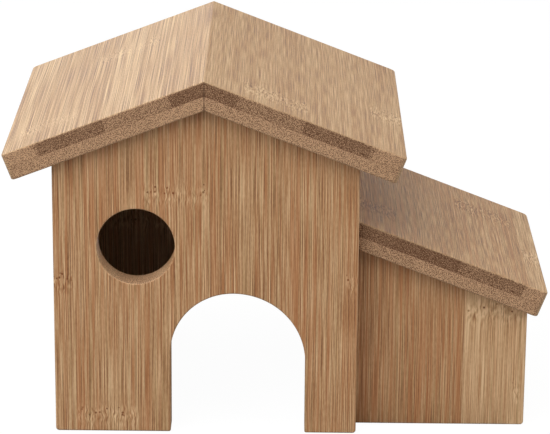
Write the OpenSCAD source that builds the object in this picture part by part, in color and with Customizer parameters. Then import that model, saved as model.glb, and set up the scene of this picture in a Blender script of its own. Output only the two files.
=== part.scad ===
// Two-room small-animal house of laminated bamboo board.
// The frame's origin is the middle of the footprint, on the ground. X runs along the
// front towards the lean-to annex, Y runs from the front to the back, Z is up.
// Every board is a separate piece, butted, mitred and pinned with blind dowels.

/* [Board] */
// Thickness of the two-ply bamboo board
board_t = 10; // [9:0.5:12]
// Depth of the sanded arris along a board's edges
arris = 0.5; // [0.2:0.1:0.8]
// Radius of the rounded corners at the eaves and at the feet of the walls
corner_r = 1.2; // [0.6:0.2:2]
// Radius of the roof panels' corners at the eaves, seen from above
plan_r = 2; // [1:0.5:4]

/* [House] */
// Width across the front wall
house_w = 109.5; // [104:0.5:130]
// Depth from the front face of the front wall to the back face of the back wall
house_d = 115; // [112:1:150]
// Height of the ridge above the ground
ridge_h = 133.5; // [128:0.5:150]
// Distance of the ridge from the middle of the front wall
ridge_x = -0.5; // [-3:0.5:3]
// Pitch of all three roof panels, in degrees
roof_pitch = 21; // [18:0.5:24]
// Length of a main roof panel's top face, from the ridge to the eave
main_slope = 77; // [72:0.5:90]
// How far each roof stands out over the walls in front and behind
overhang = 5; // [2:0.5:10]

/* [Annex] */
// Width of the annex, outside the house wall
annex_w = 62; // [58:0.5:80]
// Depth of the annex over its front and back walls
annex_d = 85; // [82:1:95]
// Height of the annex roof's top face where it meets the house wall
annex_h = 79.5; // [76:0.5:88]
// Length of the annex roof panel's top face
annex_slope = 74; // [68:0.5:90]

/* [Openings] */
// Height of the doorways' crowns above the ground
door_h = 53.4; // [50:0.2:56]
// Distance of the front doorway's crown from the middle of the wall
door_x = 9.9; // [9:0.1:11]
// Radius of the front doorway's arch on the left of its crown
door_left_r = 22.7; // [21:0.1:24]
// Radius of the front doorway's arch on the right of its crown
door_right_r = 26.1; // [24:0.1:27]
// Distance of the back doorway's crown from the middle of the wall
back_door_x = 9; // [7:0.5:11]
// Radius of the back doorway's arch
back_door_r = 26; // [24:0.5:27]
// Radius of the arched passage between the two rooms
passage_r = 24.5; // [20:0.5:25]
// Diameter of the round window
window_d = 28; // [22:0.5:30]
// Distance of the window's centre from the middle of the wall
window_x = -25.1; // [-28:0.1:-22]
// Height of the window's centre
window_z = 71; // [68:0.5:74]

/* [Dowels] */
// Diameter of a dowel
dowel_d = 5; // [4:0.5:5]
// Length of a dowel
dowel_l = 20; // [16:1:22]
// How far a dowel reaches into the face of a board
dowel_seat = 6.5; // [5:0.5:7]
// Room for glue at each end of a dowel
glue_gap = 0.5; // [0.2:0.1:0.8]

/* [Hidden] */

$fn = 96;
eps = 0.01;
run_on = 1;                                   // a cutter passes each corner by this much

half_w = house_w / 2;
pitch_tan = tan(roof_pitch);
plumb_t = board_t / cos(roof_pitch);          // a roof board's thickness, measured straight down
roof_d = house_d + 2 * overhang;
seat_h = ridge_h - plumb_t;                   // the gable's apex, under the ridge
annex_y = board_t;                            // the annex front is flush with the front wall's back
annex_end = half_w + annex_w;
annex_seat_h = annex_h - plumb_t;

// The footprint runs from the left eave to the annex eave, so this is its middle.
left_eave_x = ridge_x - main_slope * cos(roof_pitch);
annex_eave_x = half_w + annex_slope * cos(roof_pitch);
middle = [(left_eave_x + annex_eave_x) / 2, house_d / 2, 0];

// Where the dowels are
side_dowel_z = [18, 80];
annex_dowel_z = [34, 54];
end_dowel_z = [12, 34];
roof_dowel_x = [18, 42];
annex_roof_dowel_x = [half_w + 23, half_w + 45];
passage_y = annex_y + annex_d / 2;

wall_colour = [0.72, 0.54, 0.36];
annex_colour = [0.66, 0.48, 0.32];
roof_colour = [0.80, 0.64, 0.46];
dowel_colour = [0.84, 0.72, 0.54];

// Height of a roof's underside at x, on each side of its upper end
function main_under(x) = seat_h - abs(x - ridge_x) * pitch_tan;
function annex_under(x) = annex_seat_h - (x - half_w) * pitch_tan;

// ---- Parts of a board ----

// Takes the arris off an edge along +X, of a board that lies on its +Y and +Z sides
module arris_bar(length) {
    w = 2 * arris;
    rotate([-45, 0, 0])
        translate([0, -w, -w])
            cube([length, 2 * w, w + arris / sqrt(2)]);
}

// The arrises on both faces of a board that stands in XZ, along its edge from a to b.
// The board is on the left of that line.
module edge_arrises(a, b, t = board_t) {
    for (face = [0, 1])
        translate([a.x, face * t, a.y])
            rotate([0, -atan2(b.y - a.y, b.x - a.x), 0])
                mirror([0, face, 0])
                    translate([-run_on, 0, 0])
                        arris_bar(norm(b - a) + 2 * run_on);
}

// What a rounded corner loses, in its own quadrant
module corner_waste(r = corner_r) {
    difference() {
        translate([-eps, -eps])
            square([r + eps, r + eps]);
        translate([r, r])
            circle(r);
    }
}

// A profile drawn in XZ, made into a board that runs along +Y
module upright(length) {
    translate([0, length, 0])
        rotate([90, 0, 0])
            linear_extrude(length)
                children();
}

// A board whose faces look along Y. The edges between neighbouring points of eased
// lose their arrises, and the foot corners at the ends of the base are rounded.
module face_board(outline, eased, left_foot = true) {
    x0 = outline[0].x;
    x1 = outline[1].x;
    difference() {
        upright(board_t)
            difference() {
                polygon(outline);
                if (left_foot)
                    translate([x0, 0])
                        corner_waste();
                translate([x1, 0])
                    mirror([1, 0])
                        corner_waste();
            }
        for (i = [0 : len(eased) - 2])
            edge_arrises(eased[i], eased[i + 1]);
    }
}

// ---- Openings ----

// One side of a doorway's outline, from its crown at x = 0 to its jamb at x = r
module half_doorway(r) {
    intersection() {
        union() {
            translate([0, door_h - r])
                circle(r = r);
            translate([-r, -run_on])
                square([2 * r, door_h - r + run_on]);
        }
        translate([0, -2 * run_on])
            square([2 * r, door_h + 3 * run_on]);
    }
}

// The arrises of that side, on the face at y = 0
module half_doorway_arris(r) {
    intersection() {
        bore_arris(0, door_h - r, r);
        translate([0, -2 * arris, -run_on])
            cube([2 * r, 6 * arris, 2 * door_h]);
    }
    translate([r, 0, door_h - r])
        rotate([0, 90, 0])
            arris_bar(door_h - r + run_on);
}

// A doorway cut through a board of thickness board_t: a bored arch, whose two sides have
// radii of their own, over two sawn jambs, with its arrises on both faces
module doorway(left_r, right_r) {
    translate([0, board_t + eps, 0])
        rotate([90, 0, 0])
            linear_extrude(board_t + 2 * eps) {
                half_doorway(right_r);
                mirror([1, 0])
                    half_doorway(left_r);
            }
    for (face = [0, 1])
        translate([0, face * board_t, 0])
            mirror([0, face, 0]) {
                half_doorway_arris(right_r);
                mirror([1, 0, 0])
                    half_doorway_arris(left_r);
            }
}

// The arris round a bore, on the face at y = 0
module bore_arris(x, z, r) {
    translate([x, -arris, z])
        rotate([-90, 0, 0])
            cylinder(h = 3 * arris, r1 = r + 2 * arris, r2 = r - arris);
}

module round_window() {
    translate([window_x, -eps, window_z])
        rotate([-90, 0, 0])
            cylinder(h = board_t + 2 * eps, d = window_d);
    for (face = [0, 1])
        translate([0, face * board_t, 0])
            mirror([0, face, 0])
                bore_arris(window_x, window_z, window_d / 2);
}

// ---- Dowels and their sockets ----

// A dowel along +Z. Its joint is at z = 0, with the face of a board above it.
module dowel() {
    tip = 0.6;
    translate([0, 0, dowel_seat - dowel_l]) {
        cylinder(h = tip, d1 = dowel_d - 2 * tip, d2 = dowel_d);
        translate([0, 0, tip])
            cylinder(h = dowel_l - 2 * tip, d = dowel_d);
        translate([0, 0, dowel_l - tip])
            cylinder(h = tip, d1 = dowel_d, d2 = dowel_d - 2 * tip);
    }
}

// The bore that a dowel fills, with room for glue at both ends
module socket() {
    translate([0, 0, dowel_seat - dowel_l - glue_gap])
        cylinder(h = dowel_l + 2 * glue_gap, d = dowel_d);
}

// Each of these puts its child, a dowel or a socket, at every place of one joint.

// The side walls' ends, in the front wall
module at_front_joint() {
    for (x = [-1, 1] * (half_w - board_t / 2), z = side_dowel_z)
        translate([x, board_t, z])
            rotate([90, 0, 0])
                children();
}

// The side walls' ends, in the back wall
module at_back_joint() {
    translate([0, house_d, 0])
        mirror([0, 1, 0])
            at_front_joint()
                children();
}

// The annex walls' ends, in the partition wall
module at_annex_joint() {
    for (y = [annex_y + board_t / 2, annex_y + annex_d - board_t / 2], z = annex_dowel_z)
        translate([half_w, y, z])
            rotate([0, -90, 0])
                children();
}

// The end wall's ends, in the annex's front and back walls
module at_end_joint() {
    for (z = end_dowel_z) {
        translate([annex_end - board_t / 2, annex_y + board_t, z])
            rotate([90, 0, 0])
                children();
        translate([annex_end - board_t / 2, annex_y + annex_d - board_t, z])
            rotate([-90, 0, 0])
                children();
    }
}

// The gables' slopes on one side of the ridge, in the roof panel there
module at_roof_joint(left) {
    translate([ridge_x, 0, 0])
        mirror([left, 0, 0])
            for (x = roof_dowel_x, y = [board_t / 2, house_d - board_t / 2])
                translate([x, y, main_under(ridge_x + x)])
                    rotate([0, roof_pitch, 0])
                        children();
}

// The annex walls' slopes, in the annex roof
module at_annex_roof_joint() {
    for (x = annex_roof_dowel_x, y = [annex_y + board_t / 2, annex_y + annex_d - board_t / 2])
        translate([x, y, annex_under(x)])
            rotate([0, roof_pitch, 0])
                children();
}

// ---- Walls of the house ----

// The gable board that the front and the back share, with a doorway crowned at x
module gable_board(x, left_r, right_r) {
    outline = [
        [-half_w, 0], [half_w, 0], [half_w, main_under(half_w)],
        [ridge_x, seat_h], [-half_w, main_under(-half_w)]
    ];
    difference() {
        face_board(outline, [outline[4], outline[0], outline[1], outline[2]]);
        translate([x, 0, 0])
            doorway(left_r, right_r);
    }
}

module front_wall() {
    color(wall_colour)
        difference() {
            gable_board(door_x, door_left_r, door_right_r);
            round_window();
            at_front_joint()
                socket();
            for (left = [0, 1])
                at_roof_joint(left)
                    socket();
        }
}

module back_wall() {
    color(wall_colour)
        difference() {
            translate([0, house_d - board_t, 0])
                gable_board(back_door_x, back_door_r, back_door_r);
            at_back_joint()
                socket();
            for (left = [0, 1])
                at_roof_joint(left)
                    socket();
        }
}

// A board between two others, from y to y + length, with its faces at x = inner and
// x = outer. The tops of those faces are at inner_h and outer_h, bevelled to fit the roof.
module side_board(inner, outer, inner_h, outer_h, y, length) {
    difference() {
        translate([0, y, 0])
            upright(length)
                polygon([[inner, 0], [outer, 0], [outer, outer_h], [inner, inner_h]]);
        for (x = [inner, outer])
            translate([x, y - run_on, 0])
                rotate([0, 0, 90])
                    mirror([0, x < max(inner, outer) ? 1 : 0, 0])
                        arris_bar(length + 2 * run_on);
    }
}

module main_side_board(side) {
    inner = side * (half_w - board_t);
    outer = side * half_w;
    length = house_d - 2 * board_t;
    side_board(inner, outer, main_under(inner), main_under(outer), board_t, length);
}

module left_wall() {
    color(wall_colour)
        difference() {
            main_side_board(-1);
            at_front_joint()
                socket();
            at_back_joint()
                socket();
        }
}

// The right side of the house, which is also the wall between the two rooms
module partition_wall() {
    color(wall_colour)
        difference() {
            main_side_board(1);
            translate([half_w, passage_y, 0])
                rotate([0, 0, 90])
                    doorway(passage_r, passage_r);
            at_front_joint()
                socket();
            at_back_joint()
                socket();
            at_annex_joint()
                socket();
        }
}

// ---- Walls of the annex ----

// One of the annex's two long walls, with its outer face at y = 0
module annex_board() {
    outline = [
        [half_w, 0], [annex_end, 0], [annex_end, annex_under(annex_end)], [half_w, annex_seat_h]
    ];
    face_board(outline, [outline[0], outline[1], outline[2]], left_foot = false);
}

module annex_front_wall() {
    color(annex_colour)
        difference() {
            translate([0, annex_y, 0])
                annex_board();
            at_annex_joint()
                socket();
            at_end_joint()
                socket();
            at_annex_roof_joint()
                socket();
        }
}

module annex_back_wall() {
    color(annex_colour)
        difference() {
            translate([0, annex_y + annex_d - board_t, 0])
                annex_board();
            at_annex_joint()
                socket();
            at_end_joint()
                socket();
            at_annex_roof_joint()
                socket();
        }
}

module annex_end_wall() {
    inner = annex_end - board_t;
    length = annex_d - 2 * board_t;
    color(annex_colour)
        difference() {
            side_board(
                inner, annex_end, annex_under(inner), annex_under(annex_end),
                annex_y + board_t, length
            );
            at_end_joint()
                socket();
        }
}

// ---- Roofs ----

// A roof panel before it is tilted. Its top face is at z = 0, its upper end is cut so that it
// stands plumb once tilted, and the eave at x = slope has rounded corners.
module roof_panel(slope, depth) {
    difference() {
        upright(depth)
            difference() {
                polygon([[0, 0], [slope, 0], [slope, -board_t], [board_t * pitch_tan, -board_t]]);
                translate([slope, 0])
                    rotate(180)
                        corner_waste();
                translate([slope, -board_t])
                    rotate(90)
                        corner_waste();
            }
        edge_arrises([0, -board_t], [slope, -board_t], depth);
        edge_arrises([slope, -board_t], [slope, 0], depth);
        edge_arrises([slope, 0], [0, 0], depth);
        for (far = [0, 1])
            translate([slope, far * depth, -board_t - run_on])
                rotate(90 + 90 * far)
                    linear_extrude(board_t + 2 * run_on)
                        corner_waste(plan_r);
    }
}

module tilted_panel(x, z, slope, depth) {
    translate([x, 0, z])
        rotate([0, roof_pitch, 0])
            roof_panel(slope, depth);
}

// The main roof's panel on one side of the ridge
module main_panel(left) {
    color(roof_colour)
        difference() {
            translate([ridge_x, -overhang, 0])
                mirror([left, 0, 0])
                    tilted_panel(0, ridge_h, main_slope, roof_d);
            at_roof_joint(left)
                socket();
        }
}

module roof_left() {
    main_panel(1);
}

module roof_right() {
    main_panel(0);
}

module annex_roof() {
    color(roof_colour)
        difference() {
            translate([0, annex_y - overhang, 0])
                tilted_panel(half_w, annex_h, annex_slope, annex_d + 2 * overhang);
            at_annex_roof_joint()
                socket();
        }
}

// ---- Dowels ----

module front_wall_dowels() {
    color(dowel_colour)
        at_front_joint()
            dowel();
}

module back_wall_dowels() {
    color(dowel_colour)
        at_back_joint()
            dowel();
}

module annex_joint_dowels() {
    color(dowel_colour)
        at_annex_joint()
            dowel();
}

module annex_end_dowels() {
    color(dowel_colour)
        at_end_joint()
            dowel();
}

module roof_left_dowels() {
    color(dowel_colour)
        at_roof_joint(1)
            dowel();
}

module roof_right_dowels() {
    color(dowel_colour)
        at_roof_joint(0)
            dowel();
}

module annex_roof_dowels() {
    color(dowel_colour)
        at_annex_roof_joint()
            dowel();
}

translate(-middle) {
    front_wall();
    back_wall();
    left_wall();
    partition_wall();
    annex_front_wall();
    annex_back_wall();
    annex_end_wall();
    roof_left();
    roof_right();
    annex_roof();
    front_wall_dowels();
    back_wall_dowels();
    annex_joint_dowels();
    annex_end_dowels();
    roof_left_dowels();
    roof_right_dowels();
    annex_roof_dowels();
}
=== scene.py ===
"""Two-room small-animal house of laminated bamboo board, with its stage and camera."""

import math

import bmesh
import bpy
from bpy.props import FloatProperty, FloatVectorProperty, IntProperty, PointerProperty
from mathutils import Euler, Matrix, Vector


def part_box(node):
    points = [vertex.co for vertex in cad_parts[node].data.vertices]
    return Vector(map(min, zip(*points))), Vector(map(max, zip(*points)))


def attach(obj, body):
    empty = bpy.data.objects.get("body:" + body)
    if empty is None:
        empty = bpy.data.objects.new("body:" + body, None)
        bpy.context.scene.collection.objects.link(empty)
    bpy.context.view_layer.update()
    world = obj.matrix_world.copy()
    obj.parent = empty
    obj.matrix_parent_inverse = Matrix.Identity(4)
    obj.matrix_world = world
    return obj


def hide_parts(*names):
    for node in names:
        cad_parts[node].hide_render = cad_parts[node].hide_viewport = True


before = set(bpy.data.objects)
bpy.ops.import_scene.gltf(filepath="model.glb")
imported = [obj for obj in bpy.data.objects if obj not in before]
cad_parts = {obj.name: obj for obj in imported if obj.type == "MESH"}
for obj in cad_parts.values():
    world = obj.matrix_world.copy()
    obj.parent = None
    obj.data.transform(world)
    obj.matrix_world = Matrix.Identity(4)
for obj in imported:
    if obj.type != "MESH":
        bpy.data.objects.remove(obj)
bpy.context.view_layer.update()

bl_info = {
    "name": "Bamboo Small-Animal House",
    "version": (1, 0, 0),
    "blender": (4, 5, 0),
    "location": "3D View > Sidebar > House",
    "description": "Builds the boards, dowels and stage of a two-room bamboo house",
    "category": "Object",
}

MM = 0.001

# ---- Places, read from the frame (metres) ----

FRONT_LO, FRONT_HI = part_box("front_wall")
BACK_LO, BACK_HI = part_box("back_wall")
LEFT_LO, LEFT_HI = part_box("left_wall")
PART_LO, PART_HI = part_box("partition_wall")
ANNEX_FRONT_LO, ANNEX_FRONT_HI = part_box("annex_front_wall")
ANNEX_BACK_LO, ANNEX_BACK_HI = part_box("annex_back_wall")
ANNEX_END_LO, ANNEX_END_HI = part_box("annex_end_wall")
ROOF_LO, ROOF_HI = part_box("roof_right")
ANNEX_ROOF_LO, ANNEX_ROOF_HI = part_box("annex_roof")

BOARD = FRONT_HI.y - FRONT_LO.y
RIDGE = Vector((ROOF_LO.x, ROOF_LO.y, ROOF_HI.z))
ANNEX_RIDGE = Vector((ANNEX_ROOF_LO.x, ANNEX_ROOF_LO.y, ANNEX_ROOF_HI.z))
APEX = FRONT_HI.z
WALL_MIDDLE = (FRONT_LO.x + FRONT_HI.x) / 2

# ---- Driving sizes of the real house ----

PITCH = math.radians(21)
DOOR_TOP = 53.4 * MM
DOOR_X = WALL_MIDDLE + 9.9 * MM
DOOR_LEFT_RADIUS = 22.7 * MM
DOOR_RIGHT_RADIUS = 26.1 * MM
BACK_DOOR_X = WALL_MIDDLE + 9 * MM
BACK_DOOR_RADIUS = 26 * MM
PASSAGE_RADIUS = 24.5 * MM
WINDOW_RADIUS = 14 * MM
WINDOW_X = WALL_MIDDLE - 25.1 * MM
WINDOW_Z = 71 * MM
PASSAGE_Y = (ANNEX_FRONT_LO.y + ANNEX_BACK_HI.y) / 2
FOOT_RADIUS = 1.2 * MM
EAVE_RADIUS = 2 * MM

# Straight pieces in each rounding
CORNER_STEPS = 5
ARCH_STEPS = 28
WINDOW_STEPS = 72

# What a corner or an edge may be off a face and still be taken to lie on it
SLACK = 0.1 * MM

# An edge that turns by more than this is an arris
SHARP = math.radians(30)

# The photograph's camera: where it stands, how it is turned, and its focal length and
# sensor width in millimetres
CAMERA_PLACE = (0.0027, -0.97235, 0.37326)
CAMERA_DOWN = math.radians(17.621)
CAMERA_LEFT = math.radians(0.236)
CAMERA_ROLL = math.radians(0.4723)
CAMERA_LENS = 176.41
CAMERA_SENSOR = 36


def srgb(red, green, blue):
    """A colour given as 0 to 255 on screen, as the linear colour that shaders take."""
    def channel(value):
        value /= 255
        return value / 12.92 if value <= 0.04045 else ((value + 0.055) / 1.055) ** 2.4
    return tuple(channel(value) for value in (red, green, blue))


# ---- Settings that a user may change ----

class BoardSettings(bpy.types.PropertyGroup):
    """Sizes and colours of the bamboo board"""

    arris: FloatProperty(
        name="Eased edge", description="Radius of the sanded free edges",
        default=0.6 * MM, min=0.1 * MM, max=1.5 * MM, unit="LENGTH")
    joint: FloatProperty(
        name="Joint line", description="Width of the fine bevel where two boards meet",
        default=0.12 * MM, min=0.02 * MM, max=0.5 * MM, unit="LENGTH")
    strip: FloatProperty(
        name="Strip width", description="Width of one bamboo strip in the board",
        default=25 * MM, min=10 * MM, max=60 * MM, unit="LENGTH")
    pale: FloatVectorProperty(
        name="Pale fibre", description="Colour between the fibre bundles",
        subtype="COLOR", default=srgb(236, 200, 156))
    middle: FloatVectorProperty(
        name="Middle tone", description="Main colour of the carbonised bamboo",
        subtype="COLOR", default=srgb(185, 140, 97))
    dark: FloatVectorProperty(
        name="Dark fibre", description="Colour of the darkest fibre bundles",
        subtype="COLOR", default=srgb(102, 55, 27))
    roof_pale: FloatVectorProperty(
        name="Pale fibre, roof", description="The same on the yellower roof boards",
        subtype="COLOR", default=srgb(237, 207, 164))
    roof_middle: FloatVectorProperty(
        name="Middle tone, roof", description="Main colour of the roof boards",
        subtype="COLOR", default=srgb(186, 145, 102))
    end_pale: FloatVectorProperty(
        name="End grain, pale", description="Tissue between the bundles on cut ends",
        subtype="COLOR", default=srgb(214, 172, 133))
    end_dark: FloatVectorProperty(
        name="End grain, dark", description="Bundles on the cut ends",
        subtype="COLOR", default=srgb(92, 57, 33))


class DowelSettings(bpy.types.PropertyGroup):
    """Sizes of the fluted dowels"""

    flutes: IntProperty(
        name="Flutes", description="Number of glue flutes round a dowel",
        default=14, min=6, max=32)
    flute_depth: FloatProperty(
        name="Flute depth", description="Depth of one flute",
        default=0.16 * MM, min=0, max=0.5 * MM, unit="LENGTH")
    colour: FloatVectorProperty(
        name="Dowel colour", description="Colour of the plain hardwood",
        subtype="COLOR", default=srgb(214, 180, 136))


class StageSettings(bpy.types.PropertyGroup):
    """Light and floor"""

    key: FloatProperty(
        name="Key light", description="Power of the large softbox above on the left",
        default=20.0, min=0, unit="POWER")
    top: FloatProperty(
        name="Top light", description="Power of the softbox above the roof",
        default=4.9, min=0, unit="POWER")
    back: FloatProperty(
        name="Back light", description="Power of the softbox behind the left roof",
        default=2.2, min=0, unit="POWER")
    side: FloatProperty(
        name="Side light", description="Power of the soft light on the right",
        default=6.4, min=0, unit="POWER")
    front: FloatProperty(
        name="Front light", description="Power of the wide soft light beside the camera",
        default=1.3, min=0, unit="POWER")
    sky: FloatProperty(
        name="Room light", description="Strength of the light from all round",
        default=0.0, min=0)
    floor: FloatVectorProperty(
        name="Floor colour", description="Colour of the paper that the house stands on",
        subtype="COLOR", default=(0.55, 0.55, 0.55))


# ---- Shader patterns ----

class Pattern:
    """Adds nodes to a node tree, so that a pattern reads as a list of formulas."""

    def __init__(self, tree):
        self.tree = tree

    def add(self, kind, *values, **settings):
        node = self.tree.nodes.new(kind)
        for name, value in settings.items():
            setattr(node, name, value)
        for socket, value in zip(node.inputs, values):
            self.feed(socket, value)
        return node

    def feed(self, socket, value):
        if isinstance(value, bpy.types.NodeSocket):
            self.tree.links.new(value, socket)
        elif value is not None:
            socket.default_value = value

    def math(self, operation, *values):
        return self.add("ShaderNodeMath", *values, operation=operation).outputs[0]

    def plus(self, a, b):
        return self.math("ADD", a, b)

    def minus(self, a, b):
        return self.math("SUBTRACT", a, b)

    def times(self, a, b):
        return self.math("MULTIPLY", a, b)

    def above(self, value, low, high, to_low=0.0, to_high=1.0, way="SMOOTHSTEP"):
        """A step from to_low to to_high as value goes from low to high."""
        node = self.add(
            "ShaderNodeMapRange", value, low, high, to_low, to_high,
            interpolation_type=way)
        return node.outputs[0]

    def dot(self, a, b):
        node = self.add("ShaderNodeVectorMath", a, b, operation="DOT_PRODUCT")
        return node.outputs["Value"]

    def vector(self, x, y, z):
        return self.add("ShaderNodeCombineXYZ", x, y, z).outputs[0]

    def noise(self, x, y, z, detail):
        node = self.add("ShaderNodeTexNoise")
        self.feed(node.inputs["Vector"], self.vector(x, y, z))
        self.feed(node.inputs["Scale"], 1.0)
        self.feed(node.inputs["Detail"], detail)
        self.feed(node.inputs["Roughness"], 0.55)
        return node.outputs["Fac"]

    def random(self, x, y, z):
        node = self.add("ShaderNodeTexWhiteNoise", self.vector(x, y, z))
        return node.outputs["Value"]

    def mix(self, factor, a, b):
        """The colour a at factor 0 and b at factor 1."""
        node = self.add("ShaderNodeMix", data_type="RGBA")
        for name, value in (("Factor_Float", factor), ("A_Color", a), ("B_Color", b)):
            socket = next(s for s in node.inputs if s.identifier == name)
            if isinstance(value, tuple) and len(value) == 3:
                value = (*value, 1.0)
            self.feed(socket, value)
        return next(s for s in node.outputs if s.identifier == "Result_Color")


MARKS = ("Mark A", "Mark B", "Mark C", "Mark D")

# A place across a board that lies past its edge, in millimetres
NOWHERE = 1000.0

RED_FIBRE = srgb(180, 112, 66)
OLIVE_FIBRE = srgb(170, 142, 94)
MITRE_LINE = srgb(62, 34, 18)


def board_sockets(tree, settings):
    """What a board's finish can set, and what the pattern gives to the shader."""
    def socket(name, kind, value=None, in_out="INPUT"):
        made = tree.interface.new_socket(name, in_out=in_out, socket_type=kind)
        if value is not None:
            made.default_value = value

    for name in ("Origin", "Across", "Along", "Through", "Ends", *MARKS):
        socket(name, "NodeSocketVector")
    for name, value in (
        ("Strip", 25.0), ("Shift", 0.0), ("Under Shift", 9.0), ("Ply", 5.0),
        ("Seed", 0.0), ("Dash", 20.0), ("Contrast", 0.68), ("Redness", 1.0),
        ("Tone", 0.58), ("Step From", NOWHERE), ("Step", 0.3), ("Mark Depth", 1.3),
        ("Mark Reach", 1.0), ("Mitre", 0.0), ("Upper End", 0.58), ("Lower End", 0.65),
        ("Pale From", NOWHERE),
    ):
        socket(name, "NodeSocketFloat", value)
    for name, colour in (
        ("Pale", settings.pale), ("Middle", settings.middle), ("Dark", settings.dark),
        ("End Pale", settings.end_pale), ("End Dark", settings.end_dark),
    ):
        socket(name, "NodeSocketColor", (*colour, 1.0))
    socket("Color", "NodeSocketColor", in_out="OUTPUT")
    socket("Roughness", "NodeSocketFloat", in_out="OUTPUT")
    socket("Height", "NodeSocketFloat", in_out="OUTPUT")


def node_marks(p, given, u, v):
    """The node marks of the culm: short ragged bands across a strip. Each is given as
    its middle across the board, its middle along it and half its width, which is below
    zero on a dark one. Gives how far a place is in a mark and in a mark's row of pores,
    and what the marks add to its tone."""
    ragged = p.times(p.minus(p.noise(p.times(u, 0.3), given["Seed"], 0.0, 1.0), 0.5), 7.0)
    mark, pitted, lift = 0.0, 0.0, 0.0
    for name in MARKS:
        at = p.add("ShaderNodeSeparateXYZ", given[name]).outputs
        aside = p.math("ABSOLUTE", p.minus(u, at["X"]))
        wide = p.above(p.minus(p.math("ABSOLUTE", at["Z"]), aside), 0.0, 1.5)
        off = p.math("DIVIDE", p.plus(p.minus(v, at["Y"]), ragged), given["Mark Reach"])
        band = p.times(wide, p.above(p.math("ABSOLUTE", off), 0.5, 6.5, 1.0, 0.0))
        high = p.math("ABSOLUTE", p.minus(off, 2.0))
        row = p.times(wide, p.above(high, 1.5, 2.5, 1.0, 0.0))
        mark = p.math("MAXIMUM", mark, band)
        pitted = p.math("MAXIMUM", pitted, row)
        lift = p.plus(lift, p.times(band, p.times(p.math("SIGN", at["Z"]), 0.12)))
    return mark, pitted, lift


def end_grain(p, given, u, v, w, strip, under, shade):
    """The cut ends: bundles as dots, dense and dark in the upper ply. Gives the colour,
    and the dots and the grit for the relief."""
    cells = p.add("ShaderNodeTexVoronoi", feature="F1")
    p.feed(cells.inputs["Vector"], p.vector(
        p.times(u, 2.4), p.times(w, 2.8), p.times(v, 0.02)))
    p.feed(cells.inputs["Scale"], 1.0)
    dots = p.above(cells.outputs["Distance"], 0.22, 0.62, 1.0, 0.0)
    grit = p.noise(p.times(u, 4.0), p.times(w, 4.0), p.times(v, 0.05), 0.0)

    # Ends holds how the strips numbered -1, 0 and 1 differ
    of_strip = p.dot(given["Ends"], p.vector(
        *(p.math("COMPARE", strip, number, 0.5) for number in (-1.0, 0.0, 1.0))))
    upper = p.plus(given["Upper End"], of_strip)
    paler = p.math("GREATER_THAN", u, given["Pale From"])
    upper = p.plus(upper, p.times(paler, p.minus(given["Lower End"], upper)))
    tone = p.plus(p.times(upper, p.minus(1.0, under)), p.times(given["Lower End"], under))
    tone = p.plus(tone, p.times(p.minus(shade, 0.5), 0.14))
    tone = p.plus(tone, p.times(p.minus(0.45, dots), 0.8))
    tone = p.plus(tone, p.times(p.minus(grit, 0.5), 2.6))
    tone = p.math("MINIMUM", p.math("MAXIMUM", tone, 0.0), 1.0)
    return p.mix(tone, given["End Dark"], given["End Pale"]), dots, grit


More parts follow.
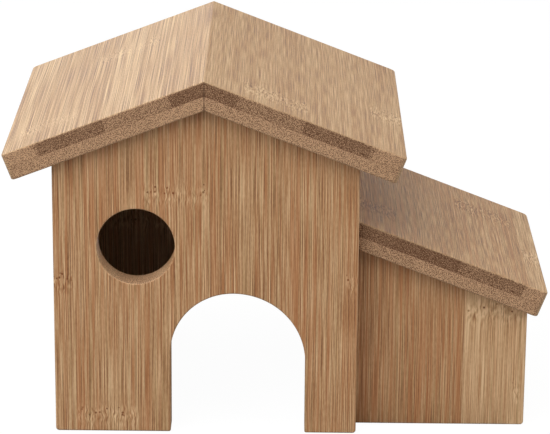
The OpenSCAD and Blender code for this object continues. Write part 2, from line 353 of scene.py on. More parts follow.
def bamboo_group(settings):
    """The pattern of a two-ply bamboo board: strips, fibres, node marks and end grain."""
    tree = bpy.data.node_groups.new("bamboo_board", "ShaderNodeTree")
    board_sockets(tree, settings)
    p = Pattern(tree)
    given = p.add("NodeGroupInput").outputs
    result = p.add("NodeGroupOutput")

    # Board coordinates in millimetres: u across the fibres, v along them, w into it
    coordinates = p.add("ShaderNodeTexCoord").outputs
    away = p.add(
        "ShaderNodeVectorMath", coordinates["Object"], given["Origin"],
        operation="SUBTRACT").outputs[0]
    away = p.add("ShaderNodeVectorMath", away, operation="SCALE")
    p.feed(away.inputs["Scale"], 1.0 / MM)
    away = away.outputs[0]
    u, v, w = (p.dot(away, given[name]) for name in ("Across", "Along", "Through"))
    facing_u, facing_v, facing_w = (
        p.math("ABSOLUTE", p.dot(coordinates["Normal"], given[name]))
        for name in ("Across", "Along", "Through"))

    # Strips, which are shifted in the lower ply
    under = p.math("GREATER_THAN", w, given["Ply"])
    shift = p.plus(given["Shift"], p.times(under, given["Under Shift"]))
    in_strips = p.math("DIVIDE", p.minus(u, shift), given["Strip"])
    strip = p.math("FLOOR", in_strips)
    inside = p.minus(in_strips, strip)
    to_seam = p.times(p.math("MINIMUM", inside, p.minus(1.0, inside)), given["Strip"])
    one = p.random(strip, under, given["Seed"])
    two = p.random(strip, p.plus(under, 7.0), given["Seed"])

    mark, pitted, lift = node_marks(p, given, u, v)

    # Fibres sway a little, and twist at a mark
    sway = p.noise(p.times(u, 0.02), p.times(v, 0.008), one, 1.0)
    sway = p.times(p.minus(sway, 0.5), 1.8)
    knot = p.noise(p.times(u, 0.6), p.times(v, 0.25), 3.0, 1.0)
    knot = p.times(p.minus(knot, 0.5), 1.9)
    fibre_u = p.plus(p.plus(u, p.times(one, 71.0)), p.plus(sway, p.times(knot, mark)))
    fibre_v = p.plus(v, p.times(two, 400.0))
    fibre_w = p.plus(w, p.times(under, 31.0))

    def fibres(width, length, detail, shift=0.0):
        """Streaks of about this width and length in millimetres."""
        return p.noise(
            p.plus(p.times(fibre_u, 1.0 / width), shift),
            p.math("DIVIDE", fibre_v, length), p.times(fibre_w, 1.0 / width), detail)

    fine = p.above(fibres(0.25, given["Dash"], 0.0), 0.28, 0.72)
    long = p.above(fibres(0.33, p.times(given["Dash"], 6.0), 0.0, 19.0), 0.28, 0.72)
    bundles = fibres(1.5, 130.0, 2.0, 11.0)
    bands = fibres(7.0, 170.0, 1.0, 23.0)
    flecks = fibres(0.36, 2.2, 1.0, 37.0)
    hue = fibres(1.1, 90.0, 1.0, 67.0)
    lines = p.above(fibres(0.55, 90.0, 1.0, 51.0), 0.60, 0.70)

    # The tone is 0.5 at the middle colour, and each layer moves it up and down
    tone = 0.0
    for part, amount in (
        (fine, 1.1), (long, 0.75), (bundles, 0.32), (bands, 0.45), (flecks, 0.9),
        (one, 0.16),
    ):
        tone = p.plus(tone, p.times(p.minus(part, 0.5), amount))
    tone = p.minus(tone, p.times(lines, 0.28))
    tone = p.plus(p.times(tone, given["Contrast"]), given["Tone"])
    beyond = p.math("GREATER_THAN", u, given["Step From"])
    tone = p.plus(tone, p.times(beyond, given["Step"]))

    # A node mark is mottled, with dark pores in its row
    pores = p.add("ShaderNodeTexVoronoi", feature="F1")
    p.feed(pores.inputs["Vector"], p.vector(
        p.times(u, 0.48), p.times(v, 0.42), p.times(w, 0.42)))
    p.feed(pores.inputs["Scale"], 1.0)
    pore = p.times(p.above(pores.outputs["Distance"], 0.15, 0.22, 1.0, 0.0), pitted)
    pore = p.times(pore, given["Mark Depth"])
    mark = p.times(mark, given["Mark Depth"])
    mottle = p.noise(p.times(u, 1.3), p.times(v, 0.3), 5.0, 2.0)
    tone = p.plus(tone, lift)
    tone = p.plus(tone, p.times(p.times(p.minus(mottle, 0.5), 1.9), mark))
    tone = p.minus(tone, p.times(pore, 0.8))

    # Tone to colour: dark, middle and pale, with redder and greener streaks
    low = p.mix(p.above(tone, -0.3, 0.5, way="LINEAR"), given["Dark"], given["Middle"])
    face = p.mix(p.above(tone, 0.5, 1.3, way="LINEAR"), low, given["Pale"])
    redness = p.times(given["Redness"], p.minus(1.0, p.times(beyond, 0.6)))
    red = p.times(p.above(hue, 0.42, 0.68, 0.0, 0.5), redness)
    face = p.mix(red, face, RED_FIBRE)
    olive = p.times(p.above(hue, 0.28, 0.44, 0.25, 0.0), given["Redness"])
    face = p.mix(olive, face, OLIVE_FIBRE)
    seam = p.above(to_seam, 0.05, 0.22, 0.22, 0.0)
    face = p.mix(seam, face, given["Dark"])

    ends, dots, grit = end_grain(p, given, u, v, w, strip, under, one)
    is_end = p.above(facing_v, 0.45, 0.8)
    colour = p.mix(is_end, face, ends)

    # The glue line between the plies, on the ends and the edges
    glue = p.above(p.math("ABSOLUTE", p.minus(w, given["Ply"])), 0.06, 0.2, 0.35, 0.0)
    glue = p.times(glue, p.above(facing_w, 0.4, 0.8, 1.0, 0.0))
    colour = p.mix(glue, colour, given["Dark"])

    # The fine line of the mitre at the ridge, on the cut ends
    from_mitre = p.math("ABSOLUTE", p.minus(u, p.times(w, given["Mitre"])))
    mitre = p.times(p.above(from_mitre, 0.10, 0.35, 0.8, 0.0), is_end)
    mitre = p.times(mitre, p.math("GREATER_THAN", given["Mitre"], 0.0))

    # The eased arrises are painted a little paler: partly the paler wood of a sanded
    # edge, partly a painted highlight along the edges
    flat = p.math("MAXIMUM", p.math("MAXIMUM", facing_u, facing_v), facing_w)
    arris = p.above(flat, 0.80, 0.985, 0.15, 0.0)
    colour = p.mix(arris, colour, given["Pale"])
    colour = p.mix(mitre, colour, MITRE_LINE)

    # Gloss and relief
    rough = p.plus(0.52, p.times(p.minus(fine, 0.5), 0.10))
    rough = p.plus(rough, p.times(is_end, 0.18))
    relief = p.plus(p.times(fine, 0.25), p.times(bundles, 0.35))
    relief = p.minus(relief, p.times(lines, 0.25))
    relief = p.minus(relief, p.times(pore, 0.5))
    relief = p.plus(relief, p.times(p.times(mottle, mark), 0.5))
    end_relief = p.plus(p.times(grit, 0.8), p.times(dots, -0.6))
    relief = p.plus(p.times(relief, p.minus(1.0, is_end)), p.times(end_relief, is_end))

    p.feed(result.inputs["Color"], colour)
    p.feed(result.inputs["Roughness"], rough)
    p.feed(result.inputs["Height"], relief)
    return tree


def board_material(name, axes, marks=(), **values):
    """A finish for one board. axes are its origin and its directions across the fibres,
    along them and into the board. values set the pattern's other inputs by name."""
    settings = bpy.context.scene.house_boards
    group = bpy.data.node_groups.get("bamboo_board") or bamboo_group(settings)
    material = bpy.data.materials.new(name)
    material.use_nodes = True
    tree = material.node_tree
    p = Pattern(tree)
    shader = tree.nodes["Principled BSDF"]
    pattern = p.add("ShaderNodeGroup", node_tree=group)
    for key, value in zip(("Origin", "Across", "Along", "Through"), axes):
        pattern.inputs[key].default_value = tuple(value)
    for key, mark in zip(MARKS, marks):
        pattern.inputs[key].default_value = mark
    pattern.inputs["Strip"].default_value = settings.strip / MM
    for key, value in values.items():
        pattern.inputs[key.replace("_", " ").title()].default_value = value
    bump = p.add("ShaderNodeBump")
    bump.inputs["Strength"].default_value = 0.35
    bump.inputs["Distance"].default_value = 0.12 * MM
    p.feed(bump.inputs["Height"], pattern.outputs["Height"])
    p.feed(shader.inputs["Base Color"], pattern.outputs["Color"])
    p.feed(shader.inputs["Roughness"], pattern.outputs["Roughness"])
    p.feed(shader.inputs["Normal"], bump.outputs["Normal"])
    shader.inputs["Specular IOR Level"].default_value = 0.3
    return material


# ---- Boards ----

def arc(centre_a, centre_b, radius, start, end, steps):
    """Points on an arc, from start to end in degrees."""
    turns = (math.radians(start + (end - start) * i / steps) for i in range(steps + 1))
    return [(centre_a + radius * math.cos(turn), centre_b + radius * math.sin(turn))
            for turn in turns]


def archway(crown, left_radius, right_radius):
    """A doorway as part of a wall's base line, from its left foot to its right one. The
    two sides of its arch have radii of their own and meet at the crown."""
    points = [(crown - left_radius, 0.0)]
    points += arc(crown, DOOR_TOP - left_radius, left_radius, 180, 90, ARCH_STEPS)
    points += arc(
        crown, DOOR_TOP - right_radius, right_radius, 90, 0, ARCH_STEPS)[1:]
    points += [(crown + right_radius, 0.0)]
    return points


def build_board(name, outline, thickness, axes, fit=None, hole=None, at_joint=None):
    """A board from its outline in the plane of its first two axes.

    fit moves a corner (a, b, c) to where the bevel cuts put it. at_joint takes an edge's
    middle and says whether it lies in a joint, where it keeps only a fine bevel.
    """
    settings = bpy.context.scene.house_boards
    origin, a_axis, b_axis, c_axis = (Vector(axis) for axis in axes)
    bm = bmesh.new()
    weight = bm.edges.layers.float.new("bevel_weight_edge")
    for loop in (outline, hole or []):
        corners = [bm.verts.new((a, b, 0.0)) for a, b in loop]
        for i in range(len(corners)):
            bm.edges.new((corners[i - 1], corners[i]))
    rim = set(bm.edges)
    bmesh.ops.triangle_fill(bm, edges=bm.edges[:], use_beauty=True)
    inner = [edge for edge in bm.edges if edge not in rim]
    bmesh.ops.dissolve_limit(bm, angle_limit=0.01, verts=[], edges=inner)
    made = bmesh.ops.extrude_face_region(bm, geom=bm.faces[:])["geom"]
    for item in made:
        if isinstance(item, bmesh.types.BMVert):
            item.co.z = thickness
    if fit:
        for corner in bm.verts:
            corner.co = fit(*corner.co)
    bmesh.ops.recalc_face_normals(bm, faces=bm.faces[:])
    for edge in bm.edges:
        if edge.calc_face_angle(0.0) > SHARP:
            middle = (edge.verts[0].co + edge.verts[1].co) / 2
            in_joint = at_joint and at_joint(middle)
            edge[weight] = settings.joint / settings.arris if in_joint else 1.0
    mesh = bpy.data.meshes.new(name)
    bm.to_mesh(mesh)
    bm.free()
    turn = Matrix((a_axis, b_axis, c_axis)).transposed().to_4x4()
    mesh.transform(Matrix.Translation(origin) @ turn)
    if turn.determinant() < 0:
        mesh.flip_normals()
    board = bpy.data.objects.new(name, mesh)
    bpy.context.scene.collection.objects.link(board)
    bevel = board.modifiers.new("Eased edges", "BEVEL")
    bevel.width = settings.arris
    bevel.segments = 3
    bevel.limit_method = "WEIGHT"
    bevel.use_clamp_overlap = False
    bevel.miter_outer = "MITER_ARC"
    board.modifiers.new("Flat faces", "WEIGHTED_NORMAL").weight = 100
    for polygon in mesh.polygons:
        polygon.use_smooth = True
    return finished(board)


def finished(thing):
    """The same object with its modifiers taken into its mesh."""
    graph = bpy.context.evaluated_depsgraph_get()
    mesh = bpy.data.meshes.new_from_object(thing.evaluated_get(graph))
    mesh.name = thing.name
    thing.modifiers.clear()
    thing.data = mesh
    return thing


def place(piece, node, material):
    """The piece rides on the house in place of its CAD node, with its finish."""
    piece.data.materials.clear()
    piece.data.materials.append(material)
    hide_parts(node)
    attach(piece, "root")


X, Y, Z = Vector((1, 0, 0)), Vector((0, 1, 0)), Vector((0, 0, 1))


def under_main_roof(x):
    """Height of the main roof's underside."""
    return APEX - abs(x - RIDGE.x) * math.tan(PITCH)


def under_annex_roof(x):
    """Height of the annex roof's underside."""
    return ANNEX_FRONT_HI.z - (x - ANNEX_FRONT_LO.x) * math.tan(PITCH)


def foot(x, side):
    """The rounded foot of a wall at x, on its left (side -1) or its right (side 1)."""
    start = 180 if side < 0 else 270
    return arc(x - side * FOOT_RADIUS, FOOT_RADIUS, FOOT_RADIUS, start, start + 90,
               CORNER_STEPS)


def gable_outline(doorway):
    """Front view of a gable wall with its doorway, from its left foot to the right."""
    left, right = FRONT_LO.x, FRONT_HI.x
    return [
        *foot(left, -1), *doorway, *foot(right, 1), (right, under_main_roof(right)),
        (RIDGE.x, APEX), (left, under_main_roof(left)),
    ]


def on_gable_slope(middle):
    """True on the gable's two slopes, which the roof covers."""
    return middle.y > under_main_roof(middle.x) - SLACK


def off_the_ground(middle):
    """True on all but the foot of a wall that stands between others."""
    return middle.y > SLACK


class HOUSE_OT_front_wall(bpy.types.Operator):
    """Build the gabled front wall with its doorway and round window"""

    bl_idname = "house.front_wall"
    bl_label = "Front Wall"

    def execute(self, context):
        doorway = archway(DOOR_X, DOOR_LEFT_RADIUS, DOOR_RIGHT_RADIUS)
        window = arc(WINDOW_X, WINDOW_Z, WINDOW_RADIUS, 0, 360, WINDOW_STEPS)[:-1]
        axes = ((0, FRONT_LO.y, 0), X, Z, Y)
        wall = build_board(
            "front_wall_board", gable_outline(doorway), BOARD, axes, hole=window,
            at_joint=on_gable_slope)
        finish = board_material(
            "bamboo_front_wall", ((WALL_MIDDLE, FRONT_LO.y, 0), X, Z, Y),
            marks=((-10.9, 90.0, 12.5), (-51.5, 57.0, -4.5), (-35.8, 6.0, 12.0),
                   (52.5, 57.0, 2.6)),
            seed=3.0, shift=-23.4)
        place(wall, "front_wall", finish)
        return {"FINISHED"}


class HOUSE_OT_back_wall(bpy.types.Operator):
    """Build the gabled back wall with its doorway"""

    bl_idname = "house.back_wall"
    bl_label = "Back Wall"

    def execute(self, context):
        doorway = archway(BACK_DOOR_X, BACK_DOOR_RADIUS, BACK_DOOR_RADIUS)
        wall = build_board(
            "back_wall_board", gable_outline(doorway), BOARD,
            ((0, BACK_LO.y, 0), X, Z, Y), at_joint=on_gable_slope)
        finish = board_material(
            "bamboo_back_wall", ((WALL_MIDDLE, BACK_HI.y, 0), X, Z, -Y),
            marks=((20.0, 84.0, 12.5), (-30.0, 47.0, 12.5)), seed=9.0, shift=-17.0)
        place(wall, "back_wall", finish)
        return {"FINISHED"}


class HOUSE_OT_side_walls(bpy.types.Operator):
    """Build the left side wall and the wall between the two rooms"""

    bl_idname = "house.side_walls"
    bl_label = "Side Walls"

    def execute(self, context):
        inner, outer = LEFT_HI.x, LEFT_LO.x
        profile = [(outer, 0.0), (inner, 0.0),
                   (inner, under_main_roof(inner)), (outer, under_main_roof(outer))]
        left = build_board(
            "left_wall_board", profile, LEFT_HI.y - LEFT_LO.y,
            ((0, LEFT_LO.y, 0), X, Z, Y), at_joint=off_the_ground)
        finish = board_material(
            "bamboo_left_wall", ((outer, LEFT_LO.y, 0), Y, Z, X),
            marks=((32.0, 70.0, 12.5), (82.0, 30.0, 12.5)), seed=14.0, shift=-5.0)
        place(left, "left_wall", finish)

        inner, outer = PART_LO.x, PART_HI.x
        front, back = PART_LO.y, PART_HI.y
        passage = archway(PASSAGE_Y, PASSAGE_RADIUS, PASSAGE_RADIUS)
        outline = [(front, 0.0), *passage, (back, 0.0), (back, PART_HI.z),
                   (front, PART_HI.z)]

        def bevel_top(a, b, c):
            top = under_main_roof(inner + c)
            return (a, top if b > PART_HI.z - SLACK else b, c)

        def covered(middle):
            on_front_or_back = middle.x < front + SLACK or middle.x > back - SLACK
            return on_front_or_back or middle.y > DOOR_TOP + SLACK

        part = build_board(
            "partition_wall_board", outline, BOARD, ((inner, 0, 0), Y, Z, X),
            fit=bevel_top, at_joint=covered)
        finish = board_material(
            "bamboo_partition", ((outer, front, 0), Y, Z, -X),
            marks=((20.0, 96.0, 12.5), (70.0, 78.0, 12.5)), seed=21.0, shift=-8.0)
        place(part, "partition_wall", finish)
        return {"FINISHED"}


class HOUSE_OT_annex_walls(bpy.types.Operator):
    """Build the three walls of the lean-to annex"""

    bl_idname = "house.annex_walls"
    bl_label = "Annex Walls"

    def execute(self, context):
        left, right = ANNEX_FRONT_LO.x, ANNEX_FRONT_HI.x
        outline = [(left, 0.0), *foot(right, 1),
                   (right, under_annex_roof(right)), (left, under_annex_roof(left))]

        def covered(middle):
            on_slope = middle.y > under_annex_roof(middle.x) - SLACK
            return on_slope or middle.x < left + SLACK

        front = build_board(
            "annex_front_board", outline, BOARD, ((0, ANNEX_FRONT_LO.y, 0), X, Z, Y),
            at_joint=covered)
        finish = board_material(
            "bamboo_annex_front", ((left, ANNEX_FRONT_LO.y, 0), X, Z, Y),
            marks=((50.5, 44.0, 11.0), (59.0, 13.0, 2.0)), seed=31.0, shift=-10.9,
            step_from=39.1, contrast=0.58, redness=1.2, tone=0.52, mark_depth=1.7)
        place(front, "annex_front_wall", finish)

        back = build_board(
            "annex_back_board", outline, BOARD, ((0, ANNEX_BACK_LO.y, 0), X, Z, Y),
            at_joint=covered)
        finish = board_material(
            "bamboo_annex_back", ((left, ANNEX_BACK_HI.y, 0), X, Z, -Y),
            marks=((26.0, 30.0, 12.5),), seed=37.0, shift=-2.0)
        place(back, "annex_back_wall", finish)

        inner, outer = ANNEX_END_LO.x, ANNEX_END_HI.x
        profile = [(inner, 0.0), (outer, 0.0),
                   (outer, under_annex_roof(outer)), (inner, under_annex_roof(inner))]
        end = build_board(
            "annex_end_board", profile, ANNEX_END_HI.y - ANNEX_END_LO.y,
            ((0, ANNEX_END_LO.y, 0), X, Z, Y), at_joint=off_the_ground)
        finish = board_material(
            "bamboo_annex_end", ((outer, ANNEX_END_LO.y, 0), Y, Z, -X),
            marks=((40.0, 22.0, 12.5),), seed=43.0, shift=-4.0)
        place(end, "annex_end_wall", finish)
        return {"FINISHED"}


def roof_look(**changes):
    """The finish of the roof boards, with the changes of one panel."""
    settings = bpy.context.scene.house_boards
    return {
        "tone": 0.58, "redness": 0.2, "upper_end": 0.25, "lower_end": 0.48,
        "pale_from": 65.0, "mark_depth": 1.5, "mark_reach": 1.9,
        "mitre": math.tan(PITCH), "pale": (*settings.roof_pale, 1.0),
        "middle": (*settings.roof_middle, 1.0), **changes,
    }


def slope_length(reach):
    """Length down the slope of a panel whose eased eave comes out as far as reach."""
    arris = bpy.context.scene.house_boards.arris
    return (reach + arris * (math.cos(PITCH) + math.sin(PITCH) - 1)) / math.cos(PITCH)


def roof_outline(slope, depth):
    """A roof panel seen square on, from ridge to eave, with its rounded corners."""
    radius = EAVE_RADIUS
    points = [(0.0, 0.0)]
    points += arc(slope - radius, radius, radius, 270, 360, CORNER_STEPS)
    points += arc(slope - radius, depth - radius, radius, 0, 90, CORNER_STEPS)
    points += [(0.0, depth)]
    return points


def plumb_cut(a, b, c):
    """Moves the ridge end's lower corners, so that the tilted panel's end is plumb."""
    return (c * math.tan(PITCH) if a < SLACK else a, b, c)


def at_ridge(middle):
    """True on a panel's plumb end."""
    return middle.x < middle.z * math.tan(PITCH) + SLACK


def roof_axes(origin, side):
    """Origin and directions of a panel that falls to side: across, along, through."""
    across = Vector((side * math.cos(PITCH), 0, -math.sin(PITCH)))
    through = Vector((-side * math.sin(PITCH), 0, -math.cos(PITCH)))
    return origin, across, Y, through


class HOUSE_OT_main_roof(bpy.types.Operator):
    """Build the two mitred panels of the main roof"""

    bl_idname = "house.main_roof"
    bl_label = "Main Roof"

    def execute(self, context):
        depth = ROOF_HI.y - ROOF_LO.y
        outline = roof_outline(slope_length(ROOF_HI.x - RIDGE.x), depth)
        marks = ((33.0, 92.0, 12.5), (60.0, 20.0, 12.0))
        axes = roof_axes(RIDGE, -1)
        panel = build_board(
            "roof_left_board", outline, BOARD, axes, fit=plumb_cut, at_joint=at_ridge)
        finish = board_material(
            "bamboo_roof_left", axes, marks=marks, seed=55.0, shift=13.8,
            ends=(-0.35, -0.02, -0.18), contrast=0.75, dash=40.0,
            **roof_look(redness=0.1, mark_depth=0.5))
        place(panel, "roof_left", finish)

        marks = ((27.0, 15.5, 13.0), (70.5, 48.0, 7.5))
        axes = roof_axes(RIDGE, 1)
        panel = build_board(
            "roof_right_board", outline, BOARD, axes, fit=plumb_cut, at_joint=at_ridge)
        finish = board_material(
            "bamboo_roof_right", axes, marks=marks, seed=61.0, shift=13.5,
            ends=(-0.36, 0.0, -0.31), contrast=0.55, dash=16.0, **roof_look())
        place(panel, "roof_right", finish)
        return {"FINISHED"}


class HOUSE_OT_annex_roof(bpy.types.Operator):
    """Build the single panel over the annex"""

    bl_idname = "house.annex_roof"
    bl_label = "Annex Roof"

    def execute(self, context):
        depth = ANNEX_ROOF_HI.y - ANNEX_ROOF_LO.y
        axes = roof_axes(ANNEX_RIDGE, 1)
        outline = roof_outline(slope_length(ANNEX_ROOF_HI.x - ANNEX_RIDGE.x), depth)
        panel = build_board(
            "annex_roof_board", outline, BOARD, axes, fit=plumb_cut, at_joint=at_ridge)
        finish = board_material(
            "bamboo_annex_roof", axes,
            marks=((6.0, 25.0, -10.0), (53.0, 72.5, -12.5), (70.0, 35.5, 4.0)),
            seed=67.0, shift=15.0, ends=(-0.2, -0.32, -0.14), contrast=0.65, dash=12.0,
            step_from=66.5, step=0.15,
            **roof_look(tone=0.45, upper_end=0.15, lower_end=0.44, redness=0.6))
        place(panel, "annex_roof", finish)
        return {"FINISHED"}


# ---- Dowels ----

DOWEL_NODES = (
    "front_wall_dowels", "back_wall_dowels", "annex_joint_dowels", "annex_end_dowels",
    "roof_left_dowels", "roof_right_dowels", "annex_roof_dowels",
)

# Corners of a dowel's section in each flute, and rings along a dowel
FLUTE_POINTS = 6
RINGS = 4


def dowel_places(node):
    """The middle, direction, length and radius of each dowel in a CAD node."""
    bm = bmesh.new()
    bm.from_mesh(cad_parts[node].data)
    bmesh.ops.remove_doubles(bm, verts=bm.verts[:], dist=0.001 * MM)
    seen, found = set(), []
    for first in bm.verts:
        if first in seen:
            continue
        seen.add(first)
        group, to_visit = [], [first]
        while to_visit:
            corner = to_visit.pop()
            group.append(corner.co.copy())
            for edge in corner.link_edges:
                other = edge.other_vert(corner)
                if other not in seen:
                    seen.add(other)
                    to_visit.append(other)
        middle = sum(group, Vector()) / len(group)
        farthest = max(group, key=lambda co: (co - middle).length)
        length_way = sum(
            ((co - middle) * (1 if (co - middle).dot(farthest - middle) > 0 else -1)
             for co in group), Vector()).normalized()
        along = [(co - middle).dot(length_way) for co in group]
        radius = max(
            (co - middle - length_way * t).length for co, t in zip(group, along))
        found.append((middle, length_way, max(along) - min(along), radius))
    bm.free()
    return found


def dowel_nodes(settings, length, radius):
    """Geometry Nodes that put a fluted, chamfered dowel on every point, turned to the
    direction that the point holds."""
    tree = bpy.data.node_groups.new("fluted_dowels", "GeometryNodeTree")
    for name, kind, value in (
        ("Geometry", "NodeSocketGeometry", None),
        ("Length", "NodeSocketFloat", length),
        ("Radius", "NodeSocketFloat", radius),
        ("Flutes", "NodeSocketInt", settings.flutes),
        ("Flute Depth", "NodeSocketFloat", settings.flute_depth),
        ("Chamfer", "NodeSocketFloat", 0.6 * MM),
        ("Material", "NodeSocketMaterial", None),
    ):
        made = tree.interface.new_socket(name, in_out="INPUT", socket_type=kind)
        if value is not None:
            made.default_value = value
    tree.interface.new_socket(
        "Geometry", in_out="OUTPUT", socket_type="NodeSocketGeometry")
    p = Pattern(tree)
    given = p.add("NodeGroupInput").outputs

    # The section: a circle whose radius dips at each flute
    steps = p.times(given["Flutes"], FLUTE_POINTS)
    circle = p.add("GeometryNodeCurvePrimitiveCircle", mode="RADIUS")
    p.feed(circle.inputs["Resolution"], steps)
    circle.inputs["Radius"].default_value = 1.0
    index = p.add("GeometryNodeInputIndex").outputs[0]
    wave = p.math("COSINE", p.times(index, math.tau / FLUTE_POINTS))
    dip = p.times(p.times(p.minus(wave, 1.0), 0.5), given["Flute Depth"])
    reach = p.plus(given["Radius"], dip)
    position = p.add("GeometryNodeInputPosition").outputs[0]
    scaled = p.add("ShaderNodeVectorMath", position, operation="SCALE")
    p.feed(scaled.inputs["Scale"], reach)
    section = p.add("GeometryNodeSetPosition")
    p.feed(section.inputs["Geometry"], circle.outputs["Curve"])
    p.feed(section.inputs["Position"], scaled.outputs[0])

    # The length, with a ring at each side of both chamfers
    half = p.times(given["Length"], 0.5)
    line = p.add("GeometryNodeMeshLine", count_mode="TOTAL", mode="END_POINTS")
    p.feed(line.inputs["Count"], RINGS)
    curve = p.add("GeometryNodeMeshToCurve", line.outputs[0])
    at = p.add("GeometryNodeInputIndex").outputs[0]
    from_middle = p.minus(at, (RINGS - 1) / 2)
    is_tip = p.math("GREATER_THAN", p.math("ABSOLUTE", from_middle), 1.0)
    short = p.times(p.minus(1.0, is_tip), given["Chamfer"])
    height = p.times(p.math("SIGN", from_middle), p.minus(half, short))
    path = p.add("GeometryNodeSetPosition")
    p.feed(path.inputs["Geometry"], curve.outputs[0])
    p.feed(path.inputs["Position"], p.vector(0.0, 0.0, height))
    taper = p.math("DIVIDE", given["Chamfer"], given["Radius"])
    slim = p.minus(1.0, p.times(is_tip, taper))
    tapered = p.add("GeometryNodeSetCurveRadius")
    p.feed(tapered.inputs["Curve"], path.outputs[0])
    p.feed(tapered.inputs["Radius"], slim)
    solid = p.add("GeometryNodeCurveToMesh")
    p.feed(solid.inputs["Curve"], tapered.outputs[0])
    p.feed(solid.inputs["Profile Curve"], section.outputs[0])
    solid.inputs["Fill Caps"].default_value = True
    p.feed(solid.inputs["Scale"], p.add("GeometryNodeInputRadius").outputs[0])

    # One dowel on each point, turned to the point's own direction
    way = p.add("GeometryNodeInputNamedAttribute", data_type="FLOAT_VECTOR")
    way.inputs["Name"].default_value = "way"
    turned = p.add("FunctionNodeAlignRotationToVector", axis="Z")
    p.feed(turned.inputs["Vector"], way.outputs["Attribute"])
    spread = p.add("GeometryNodeInstanceOnPoints")
    p.feed(spread.inputs["Points"], given["Geometry"])
    p.feed(spread.inputs["Instance"], solid.outputs[0])
    p.feed(spread.inputs["Rotation"], turned.outputs[0])
    real = p.add("GeometryNodeRealizeInstances", spread.outputs[0])
    painted = p.add("GeometryNodeSetMaterial")
    p.feed(painted.inputs["Geometry"], real.outputs[0])
    p.feed(painted.inputs["Material"], given["Material"])
    result = p.add("NodeGroupOutput")
    p.feed(result.inputs["Geometry"], painted.outputs[0])
    return tree


def dowel_material(settings):
    """Plain hardwood with fine pores, the same whichever way a dowel lies."""
    material = bpy.data.materials.new("dowel_wood")
    material.use_nodes = True
    p = Pattern(material.node_tree)
    shader = material.node_tree.nodes["Principled BSDF"]
    place_of = p.add("ShaderNodeTexCoord").outputs["Object"]
    cloud = p.add("ShaderNodeTexNoise")
    p.feed(cloud.inputs["Vector"], place_of)
    cloud.inputs["Scale"].default_value = 260.0
    cloud.inputs["Detail"].default_value = 4.0
    pale = tuple(settings.colour)
    dark = tuple(channel * 0.62 for channel in settings.colour)
    p.feed(shader.inputs["Base Color"], p.mix(cloud.outputs["Fac"], dark, pale))
    p.feed(shader.inputs["Roughness"], p.above(cloud.outputs["Fac"], 0.3, 0.7, 0.75, 0.6))
    bump = p.add("ShaderNodeBump")
    bump.inputs["Strength"].default_value = 0.3
    bump.inputs["Distance"].default_value = 0.1 * MM
    p.feed(bump.inputs["Height"], cloud.outputs["Fac"])
    p.feed(shader.inputs["Normal"], bump.outputs["Normal"])
    return material


class HOUSE_OT_dowels(bpy.types.Operator):
    """Put a fluted dowel in every blind socket of the joints"""

    bl_idname = "house.dowels"
    bl_label = "Dowels"

    def execute(self, context):
        settings = context.scene.house_dowels
        finish = dowel_material(settings)
        length, radius = dowel_places(DOWEL_NODES[0])[0][2:]
        tree = dowel_nodes(settings, length, radius)
        inputs = {item.name: item.identifier for item in tree.interface.items_tree
                  if item.in_out == "INPUT"}
        for node in DOWEL_NODES:
            places = dowel_places(node)
            mesh = bpy.data.meshes.new(node + "_set")
            mesh.from_pydata([middle for middle, *_ in places], [], [])
            ways = mesh.attributes.new("way", "FLOAT_VECTOR", "POINT")
            for i, (_, way, *_) in enumerate(places):
                ways.data[i].vector = way
            dowels = bpy.data.objects.new(node + "_set", mesh)
            context.scene.collection.objects.link(dowels)
            modifier = dowels.modifiers.new("Fluted dowels", "NODES")
            modifier.node_group = tree
            modifier[inputs["Material"]] = finish
            place(finished(dowels), node, finish)
        return {"FINISHED"}


# ---- Stage ----

HOUSE_MIDDLE = Vector((0, 0, 60 * MM))

# The floor: half its width, and how far it lies under the feet
FLOOR_REACH = 6.0
FLOOR_DROP = 0.02 * MM

# Half the size of the ground under the house that is painted dark, as painted shade for
# bounced light, which is about as large as the walls' outline
UNDER_HOUSE_X, UNDER_HOUSE_Y = 85 * MM, 58 * MM

# The paper: how much of its colour it bounces beside the house and under it, how white
# the camera sees it, and how much of that white is its own
# Under the house the paper is painted dark for bounced light: painted shade inside the
# house
BOUNCE_BESIDE, BOUNCE_UNDER = 0.4, 0.1
PAPER_WHITE, PAPER_GLOW = 1.08, 0.9


def soft_light(name, place_at, size, power):
    """A large soft lamp that looks at the middle of the house."""
    data = bpy.data.lights.new(name, "AREA")
    data.shape = "RECTANGLE"
    data.size, data.size_y = size
    data.energy = power
    lamp = bpy.data.objects.new(name, data)
    lamp.location = place_at
    towards = HOUSE_MIDDLE - Vector(place_at)
    lamp.rotation_euler = towards.to_track_quat("-Z", "Y").to_euler()
    bpy.context.scene.collection.objects.link(lamp)


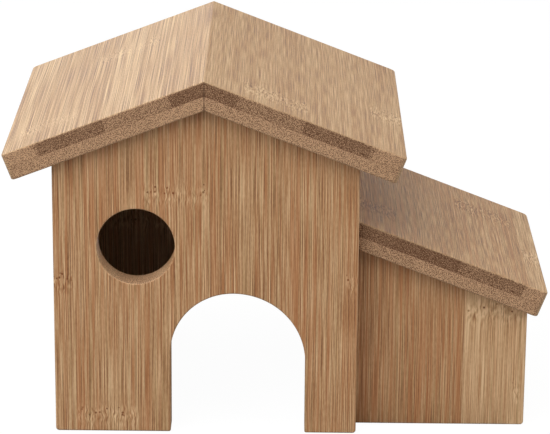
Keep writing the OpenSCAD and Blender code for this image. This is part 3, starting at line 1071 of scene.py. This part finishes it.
def floor_material(settings):
    """White paper: the camera and the gloss of the boards see it near white, apart from
    the gloss inside the dark house, and the house's shadow shows faintly. Light that
    bounces meets darker paper, which is darkest under the house: painted shade, so that
    little light bounces about inside the house."""
    material = bpy.data.materials.new("floor_paper")
    material.use_nodes = True
    tree = material.node_tree
    p = Pattern(tree)
    material.cycles.emission_sampling = "NONE"
    out = tree.nodes["Material Output"]
    tree.nodes.remove(tree.nodes["Principled BSDF"])
    seen = p.add("ShaderNodeLightPath").outputs
    spot = p.add("ShaderNodeSeparateXYZ", p.add("ShaderNodeTexCoord").outputs["Object"])
    # Beside the house or under it; under it the paper is painted dark, as painted shade
    # for bounced light
    beside_x, beside_y = (
        p.math("GREATER_THAN", p.math("ABSOLUTE", spot.outputs[axis]), half)
        for axis, half in (("X", UNDER_HOUSE_X), ("Y", UNDER_HOUSE_Y)))
    beside = p.math("MAXIMUM", beside_x, beside_y)
    paper = p.add("ShaderNodeBsdfDiffuse")
    p.feed(paper.inputs["Color"], p.mix(
        p.math("MAXIMUM", seen["Is Camera Ray"], p.times(beside, BOUNCE_BESIDE)),
        tuple(BOUNCE_UNDER * channel for channel in settings.floor),
        tuple(settings.floor)))
    white = p.add("ShaderNodeEmission")
    white.inputs["Color"].default_value = (1, 1, 1, 1)
    white.inputs["Strength"].default_value = PAPER_WHITE

    # It is white where the camera, glass or a first gloss beside the house sees it
    mirrored = p.times(seen["Is Glossy Ray"], p.math("LESS_THAN", seen["Ray Depth"], 1.5))
    mirrored = p.times(mirrored, beside)
    direct = p.math("MAXIMUM", seen["Is Camera Ray"], mirrored)
    direct = p.math("MAXIMUM", direct, seen["Is Transmission Ray"])
    both = p.add("ShaderNodeMixShader", p.times(direct, PAPER_GLOW), paper.outputs[0],
                 white.outputs[0])
    p.feed(out.inputs["Surface"], both.outputs[0])
    return material


class HOUSE_OT_stage(bpy.types.Operator):
    """Set up the floor, the lights, the pale room and the camera"""

    bl_idname = "house.stage"
    bl_label = "Stage"

    def execute(self, context):
        scene = context.scene
        settings = scene.house_stage
        bm = bmesh.new()
        bmesh.ops.create_grid(bm, x_segments=1, y_segments=1, size=FLOOR_REACH)
        mesh = bpy.data.meshes.new("floor")
        bm.to_mesh(mesh)
        bm.free()
        floor = bpy.data.objects.new("floor", mesh)
        floor.data.transform(Matrix.Translation((0, 0, -FLOOR_DROP)))
        floor.data.materials.append(floor_material(settings))
        scene.collection.objects.link(floor)

        soft_light("key", (-0.75, -0.75, 0.95), (1.5, 1.5), settings.key)
        soft_light("top", (-0.15, 0.18, 1.25), (1.1, 1.1), settings.top)
        soft_light("back", (-0.55, 1.4, 0.5), (0.9, 0.5), settings.back)
        soft_light("side", (1.1, -0.6, 0.6), (0.8, 0.8), settings.side)
        soft_light("front", (0.15, -1.5, 0.25), (1.8, 0.9), settings.front)

        world = bpy.data.worlds.new("pale_room")
        world.use_nodes = True
        world.cycles.sampling_method = "NONE"
        p = Pattern(world.node_tree)
        sky = world.node_tree.nodes["Background"]
        sky.inputs["Color"].default_value = (1, 1, 1, 1)
        seen = p.add("ShaderNodeLightPath").outputs
        direct = p.math("MAXIMUM", seen["Is Camera Ray"], seen["Is Glossy Ray"])
        direct = p.math("MAXIMUM", direct, seen["Is Transmission Ray"])
        p.feed(sky.inputs["Strength"],
               p.plus(p.times(direct, 1.0 - settings.sky), settings.sky))
        scene.world = world

        lens = bpy.data.cameras.new("photo_camera")
        lens.sensor_width = CAMERA_SENSOR
        lens.lens = CAMERA_LENS
        lens.clip_start, lens.clip_end = 0.05, 20
        camera = bpy.data.objects.new("photo_camera", lens)
        turn = (Euler((0, 0, CAMERA_LEFT)).to_matrix()
                @ Euler((math.pi / 2 - CAMERA_DOWN, 0, 0)).to_matrix()
                @ Euler((0, 0, CAMERA_ROLL)).to_matrix())
        camera.matrix_world = Matrix.Translation(CAMERA_PLACE) @ turn.to_4x4()
        scene.collection.objects.link(camera)
        scene.camera = camera
        scene.view_settings.view_transform = "Standard"
        return {"FINISHED"}


# ---- Panel and registration ----

OPERATORS = (
    HOUSE_OT_front_wall, HOUSE_OT_back_wall, HOUSE_OT_side_walls, HOUSE_OT_annex_walls,
    HOUSE_OT_main_roof, HOUSE_OT_annex_roof, HOUSE_OT_dowels, HOUSE_OT_stage,
)
SETTINGS = (
    ("house_boards", BoardSettings), ("house_dowels", DowelSettings),
    ("house_stage", StageSettings),
)


class HOUSE_PT_panel(bpy.types.Panel):
    """Settings and steps of the bamboo house"""

    bl_idname = "HOUSE_PT_panel"
    bl_label = "Bamboo House"
    bl_space_type = "VIEW_3D"
    bl_region_type = "UI"
    bl_category = "House"

    def draw(self, context):
        for name, group in SETTINGS:
            box = self.layout.box()
            box.label(text=group.__doc__)
            for key in group.__annotations__:
                box.prop(getattr(context.scene, name), key)
        for operator in OPERATORS:
            self.layout.operator(operator.bl_idname)


def register():
    for name, group in SETTINGS:
        bpy.utils.register_class(group)
        setattr(bpy.types.Scene, name, PointerProperty(type=group))
    for cls in (*OPERATORS, HOUSE_PT_panel):
        bpy.utils.register_class(cls)


def unregister():
    for cls in (HOUSE_PT_panel, *reversed(OPERATORS)):
        bpy.utils.unregister_class(cls)
    for name, group in SETTINGS:
        delattr(bpy.types.Scene, name)
        bpy.utils.unregister_class(group)


def main():
    register()
    bpy.ops.house.front_wall()
    bpy.ops.house.back_wall()
    bpy.ops.house.side_walls()
    bpy.ops.house.annex_walls()
    bpy.ops.house.main_roof()
    bpy.ops.house.annex_roof()
    bpy.ops.house.dowels()
    bpy.ops.house.stage()


if __name__ == "__main__":
    main()
